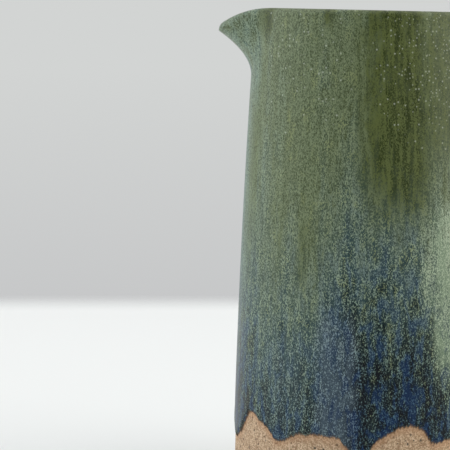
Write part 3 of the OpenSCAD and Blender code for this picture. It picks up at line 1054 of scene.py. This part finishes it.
@dataclass
class StrapCoat:
    """The glaze on the pulled strap handle, which flows into the glaze of the side at both joints."""

    form: PitcherForm
    drop: float = 20 * MM  # from the rim down to the upper joint
    span: float = 100 * MM  # between the joints
    out: float = 40 * MM
    width_top: float = 27 * MM
    width_low: float = 21 * MM
    thick_top: float = 9.4 * MM
    thick_low: float = 7.4 * MM
    groove: float = 0.9 * MM
    smear: float = 2.6 * MM  # how much the strap grows towards its roots
    lute: float = 1.2 * MM
    # How far the centre line is drawn out, in shares of out, and up, in shares of the span
    top_pull: tuple[float, float] = (1.15, 0.2)
    low_pull: tuple[float, float] = (1.42, 0.38)
    root_share: float = 0.14
    fillet_share: float = 0.03
    fillet: float = 4.2 * MM
    toe_sink: float = 0.12 * MM
    # Past these distances from the axis the glaze is the strap's own, thin and olive on its edges
    own_run: tuple[float, float] = (60 * MM, 72 * MM)
    edge_from: float = 0.72
    edge_olive: float = 0.55
    rings: int = 110
    fillet_rings: int = 10
    sides: int = 64

    def bend(self) -> np.ndarray:
        """The four points that the centre line bends by, as X and Z."""
        top = self.form.height - self.drop
        low = top - self.span
        start = self.form.side(top) - self.form.glaze + self.lute
        end = self.form.side(low) - self.form.glaze + self.lute
        reach = np.array([self.out, self.span])
        return np.array([
            [start, top], [start, top] + self.top_pull * reach,
            [end, low] + self.low_pull * reach, [end, low],
        ])

    def section(self, t: float) -> np.ndarray:
        """The glazed outline of the strap at a share of its length, one row for each point."""
        b, rest = self.bend(), 1 - t
        middle = rest**3 * b[0] + 3 * t * rest**2 * b[1] + 3 * t * t * rest * b[2] + t**3 * b[3]
        run = (1 - t) ** 2 * (b[1] - b[0]) + 2 * t * (1 - t) * (b[2] - b[1]) + t * t * (b[3] - b[2])
        run = run / np.hypot(*run)
        q = np.arange(self.sides) / self.sides * TURN
        grown = self.form.glaze + self.smear * max(0.0, 1 - min(t, 1 - t) / self.root_share) ** 2
        across = ((self.width_top + (self.width_low - self.width_top) * t) / 2 + grown) * np.cos(q)
        through = ((self.thick_top + (self.thick_low - self.thick_top) * t) / 2 + grown) * np.sin(q)
        through = through - self.groove * np.maximum(0, np.sin(q)) ** 6
        return np.stack([middle[0] - through * run[1], across, middle[1] + through * run[0]], axis=1)

    def on_side(self, y: np.ndarray, z: np.ndarray) -> np.ndarray:
        """Points on the glazed side, a hair under its surface."""
        radius = self.form.side(z) - self.toe_sink
        return np.stack([np.sqrt(radius**2 - y**2), y, z], axis=1)

    def rooted(self, t: float, inward: float) -> list[np.ndarray]:
        """The rings of a fillet at one end of the strap.

        Args:
            t: The share of the strap's length where the fillet ends.
            inward: A small share, with its sign, that points along the strap and away from the side.

        Returns:
            The rings, from the side out to the strap.
        """
        edge = self.section(t)
        way = self.section(t + inward) - edge
        way /= np.linalg.norm(way, axis=1)[:, None]
        reach = np.zeros(self.sides)
        for _ in range(12):  # each point runs back along the strap until it meets the side
            here = edge - way * reach[:, None]
            gap = np.hypot(here[:, 0], here[:, 1]) - self.form.side(here[:, 2])
            reach += gap / np.maximum(0.3, way[:, 0])
        foot = edge - way * reach[:, None]
        middle = foot[:, 1:].mean(axis=0)
        spread = foot[:, 1:] - middle
        spread *= 1 + self.fillet / np.linalg.norm(spread, axis=1)[:, None]
        toe = self.on_side(*(middle + spread).T)
        return [
            (1 - s) ** 2 * toe + 2 * s * (1 - s) * foot + s * s * edge
            for s in np.arange(self.fillet_rings) / self.fillet_rings
        ]

    def build(self) -> bpy.types.Object:
        """Draws the coat ring by ring from one joint to the other, then gives it its thickness.

        Returns:
            The coat, not yet marked.
        """
        first, last = self.fillet_share, 1 - self.fillet_share
        strap = [self.section(first + (last - first) * i / self.rings) for i in range(self.rings + 1)]
        outlines = self.rooted(first, 0.01) + strap + self.rooted(last, -0.01)[::-1]
        bpy.ops.object.select_all(action="DESELECT")
        bpy.ops.mesh.primitive_circle_add(vertices=self.sides, radius=MM, fill_type="NOTHING")
        coat = bpy.context.object
        coat.name = coat.data.name = "handle_glaze_coat"
        edit(coat)
        for _ in outlines[1:]:
            bpy.ops.mesh.extrude_edges_move(TRANSFORM_OT_translate={"value": (0, 0, MM)})
        bpy.ops.object.mode_set(mode="OBJECT")
        co = points_of(coat)
        ring = np.round(co[:, 2] / MM).astype(int)
        side = np.round(np.arctan2(co[:, 1], co[:, 0]) / TURN * self.sides).astype(int) % self.sides
        coat.data.vertices.foreach_set("co", np.array(outlines)[ring, side].ravel())
        close_mesh(coat)
        wall = coat.modifiers.new("coat", "SOLIDIFY")
        wall.thickness = self.form.glaze
        wall.offset = -1
        bpy.ops.object.modifier_apply(modifier=wall.name)
        return coat

    def dress(self, coat: bpy.types.Object, side: GlazeCoat) -> None:
        """Marks how the glaze ran over the strap: like the side's at the joints, thin on its edges.

        Args:
            coat: The strap's coat.
            side: The coat on the side.
        """
        side.dress(coat)
        co = points_of(coat)
        across = np.abs(co[:, 1]) / (self.width_low / 2)
        edges = smooth(self.edge_from, 1.0, across) * self.edge_olive
        clear = smooth(*self.own_run, co[:, 0])
        olive = coat.data.attributes[Mark.OLIVE.value].data
        values = np.empty(len(co))
        olive.foreach_get("value", values)
        mixed = np.maximum(values * (1 - clear), edges * clear)
        olive.foreach_set("value", mixed.astype(np.float32))


# ---- Studio ---------------------------------------------------------------------------------


@dataclass(frozen=True)
class Studio:
    """A pale table in front of a plain grey wall, in wide soft light from both sides."""

    camera_place: tuple[float, float, float] = (-0.0592, -0.800, 0.201)
    camera_pitch: float = 6.386
    lens_mm: float = 153.6
    table_size: float = 6.0
    table_end: tuple[float, float] = (0.472, 0.554)  # where it starts to fade and where it ends
    table: str = "#ececea"
    # The wall's grey at its top and low down: painted shade, darker towards the table
    wall_top: str = "#d2d4d3"
    wall_low: str = "#c5c6c7"
    # The room's light from the left, through the front, to the right
    room: tuple[tuple[float, str], ...] = (
        (0.0, "#e0ebf8"), (0.2, "#c8d5e3"), (0.42, "#4a4d50"),
        (0.6, "#4c4d4c"), (0.82, "#c4c4bf"), (1.0, "#f0efe9"),
    )
    # Soft boxes: name, place, width in metres and power in watts
    boxes: tuple[tuple[str, tuple[float, float, float], float, float], ...] = (
        ("window", (-1.3, 0.1, 0.8), 1.8, 9.5),
        ("reflector", (1.35, 0.0, 0.8), 1.8, 13.0),
        ("ceiling", (0.0, 0.1, 1.9), 2.4, 17.5),
    )
    aim_height: float = 0.1

    def lay_table(self) -> None:
        """Lays a table whose far end fades out softly."""
        bpy.ops.object.select_all(action="DESELECT")
        bpy.ops.mesh.primitive_plane_add(size=self.table_size)
        floor = bpy.context.object
        floor.name = floor.data.name = "table"
        edit(floor)
        bpy.ops.mesh.bisect(plane_co=(0, self.table_end[1], 0), plane_no=(0, 1, 0), clear_outer=True)
        bpy.ops.object.mode_set(mode="OBJECT")
        cloth = bpy.data.materials.new("table")
        cloth.use_nodes = True
        tree = cloth.node_tree
        tree.nodes.clear()
        places = add_node(tree, "ShaderNodeTexCoord").outputs["Object"]
        along = add_node(tree, "ShaderNodeSeparateXYZ", {"Vector": places}).outputs["Y"]
        fade = add_node(tree, "ShaderNodeMapRange", {
            "Value": along, "From Min": self.table_end[0], "From Max": self.table_end[1],
        }, interpolation_type="SMOOTHSTEP").outputs[0]
        weave = add_node(tree, "ShaderNodeTexNoise", {
            "Vector": places, "Scale": per_metre(3), "Detail": 3.0,
        }).outputs["Fac"]
        relief = add_node(tree, "ShaderNodeBump", {
            "Strength": 0.1, "Distance": 0.1 * MM, "Height": weave,
        }).outputs[0]
        matt = add_node(tree, "ShaderNodeBsdfDiffuse", {
            "Color": linear(self.table), "Normal": relief,
        }).outputs[0]
        gone = add_node(tree, "ShaderNodeBsdfTransparent").outputs[0]
        shown = add_node(tree, "ShaderNodeMixShader", {0: fade, 1: matt, 2: gone}).outputs[0]
        add_node(tree, "ShaderNodeOutputMaterial", {"Surface": shown})
        floor.data.materials.append(cloth)

    def light(self) -> None:
        """Sets the wall's grey, the room's soft light, a soft box on each side and one overhead."""
        world = bpy.data.worlds.new("room")
        world.use_nodes = True
        bpy.context.scene.world = world
        tree = world.node_tree
        tree.nodes.clear()
        way = add_node(tree, "ShaderNodeTexCoord").outputs["Generated"]
        parts = add_node(tree, "ShaderNodeSeparateXYZ", {"Vector": way})
        # Painted shade on the backdrop: the wall seen behind the pitcher darkens from its top grey to its
        # low grey towards the table
        rise = add_node(tree, "ShaderNodeMapRange", {
            "Value": parts.outputs["Z"], "From Min": -0.165, "From Max": -0.03,
        }).outputs[0]
        grey = add_node(tree, "ShaderNodeMix", {
            0: rise, 6: linear(self.wall_low), 7: linear(self.wall_top),
        }, data_type="RGBA").outputs[2]
        wall = add_node(tree, "ShaderNodeBackground", {"Color": grey, "Strength": 1.0}).outputs[0]
        across = add_node(tree, "ShaderNodeMapRange", {
            "Value": parts.outputs["X"], "From Min": -1.0,
        }).outputs[0]
        sides = add_node(tree, "ShaderNodeValToRGB", {"Fac": across}, self.room).outputs[0]
        behind = add_node(tree, "ShaderNodeMapRange", {
            "Value": parts.outputs["Y"], "From Min": -0.1, "From Max": 0.7, "To Max": 0.8,
        }, interpolation_type="SMOOTHSTEP").outputs[0]
        around = add_node(tree, "ShaderNodeMix", {
            0: behind, 6: sides, 7: linear(self.wall_top),
        }, data_type="RGBA").outputs[2]
        room = add_node(tree, "ShaderNodeBackground", {"Color": around, "Strength": 1.0}).outputs[0]
        seen = add_node(tree, "ShaderNodeLightPath").outputs["Is Camera Ray"]
        shown = add_node(tree, "ShaderNodeMixShader", {0: seen, 1: room, 2: wall}).outputs[0]
        add_node(tree, "ShaderNodeOutputWorld", {"Surface": shown})
        for name, spot, size, power in self.boxes:
            bpy.ops.object.light_add(type="AREA", location=spot)
            lamp = bpy.context.object
            lamp.name = name
            lamp.data.size = size
            lamp.data.energy = power
            flat = math.hypot(spot[0], spot[1])
            turn = math.atan2(-spot[1], -spot[0]) - math.pi / 2
            lamp.rotation_euler = (math.atan2(flat, spot[2] - self.aim_height), 0.0, turn)

    def set_camera(self) -> None:
        """Sets the camera level with the rim, looking a little down."""
        bpy.ops.object.camera_add(location=self.camera_place)
        camera = bpy.context.object
        camera.name = "camera"
        camera.rotation_euler = (math.radians(90 - self.camera_pitch), 0, 0)
        camera.data.lens = self.lens_mm
        camera.data.sensor_width = 36
        bpy.context.scene.camera = camera
        bpy.context.scene.view_settings.view_transform = "Standard"


# ---- Putting it together --------------------------------------------------------------------


def hand_over(piece: bpy.types.Object, finish: bpy.types.Material, slot: str, *nodes: str) -> None:
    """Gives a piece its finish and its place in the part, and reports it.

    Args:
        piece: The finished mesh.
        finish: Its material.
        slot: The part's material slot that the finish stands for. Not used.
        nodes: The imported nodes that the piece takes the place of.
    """
    piece.data.materials.clear()
    piece.data.materials.append(finish)
    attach(piece, BODY)
    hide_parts(*nodes)
    LOG.info("%s: %d points, for %s", piece.name, len(piece.data.vertices), ", ".join(nodes))


def main() -> None:
    """Builds the pitcher and the studio, piece by piece."""
    logging.basicConfig(level=logging.INFO, format="%(message)s")
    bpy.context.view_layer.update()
    bpy.ops.object.select_all(action="DESELECT")
    studio = Studio()
    studio.set_camera()
    studio.lay_table()
    studio.light()

    clay = SpeckledStoneware()
    glaze = ReactiveGlaze().material()
    # The liner's grains are coarser than those outside
    liner_glaze = ReactiveGlaze(name="liner_glaze", grain_mm=1.4).material()
    form = PitcherForm()
    coat = GlazeCoat(form)
    hand_over(ThrownBody(form).build(), clay.material(glazed=True), "stoneware", "clay_body")
    hand_over(coat.build(), glaze, "reactive_glaze", "outer_glaze")
    hand_over(LinerCoat(form).build(), liner_glaze, "liner_glaze", "liner_glaze")
    strap = StrapCoat(form)
    strap_coat = strap.build()
    strap.dress(strap_coat, coat)
    hand_over(strap_coat, glaze, "reactive_glaze", "handle_glaze")

    bare = clay.material()
    slip = SpeckledStoneware(
        name="joining_slip", tan="#a98467", sand="#b99476", shade="#8d6b50"
    ).material()
    for node, finish in (("handle", bare), ("upper_luting", slip), ("lower_luting", slip)):
        for material_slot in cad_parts[node].material_slots:
            material_slot.material = finish
        LOG.info("%s: kept, in %s", node, finish.name)


if __name__ == "__main__":
    main()
